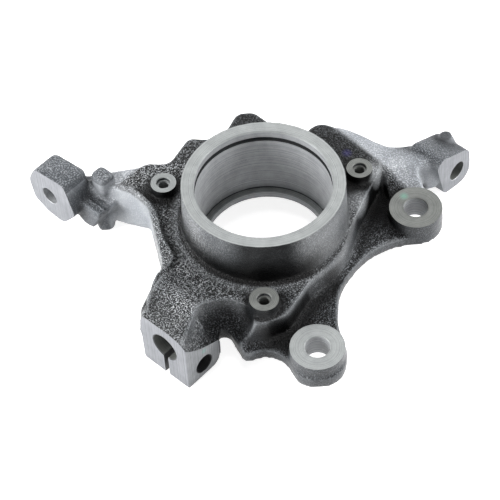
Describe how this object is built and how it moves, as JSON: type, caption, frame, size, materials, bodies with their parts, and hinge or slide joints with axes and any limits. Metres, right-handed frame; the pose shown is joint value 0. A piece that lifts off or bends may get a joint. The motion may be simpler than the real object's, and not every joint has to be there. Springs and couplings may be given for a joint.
{
  "type": "steering knuckle",
  "caption": "Cast iron steering knuckle: bearing barrel, caliper ears, slotted ball-joint clamp, steering arm and strut arm with drilled end faces.",
  "frame": {"origin": "on the hub axis, at the level of the turned rim face of the bearing barrel", "axes": "+Z along the hub axis, out of the open end of the bearing bore; +X towards the strut arm and the right caliper ear; +Y away from the front caliper ear"},
  "size_m": [0.2836, 0.2033, 0.0709],
  "materials": {
    "casting": "sand-cast skin, dark grey, with bright machined faces"
  },
  "bodies": {
    "root": {"knuckle": "casting"}
  },
  "joints": []
}
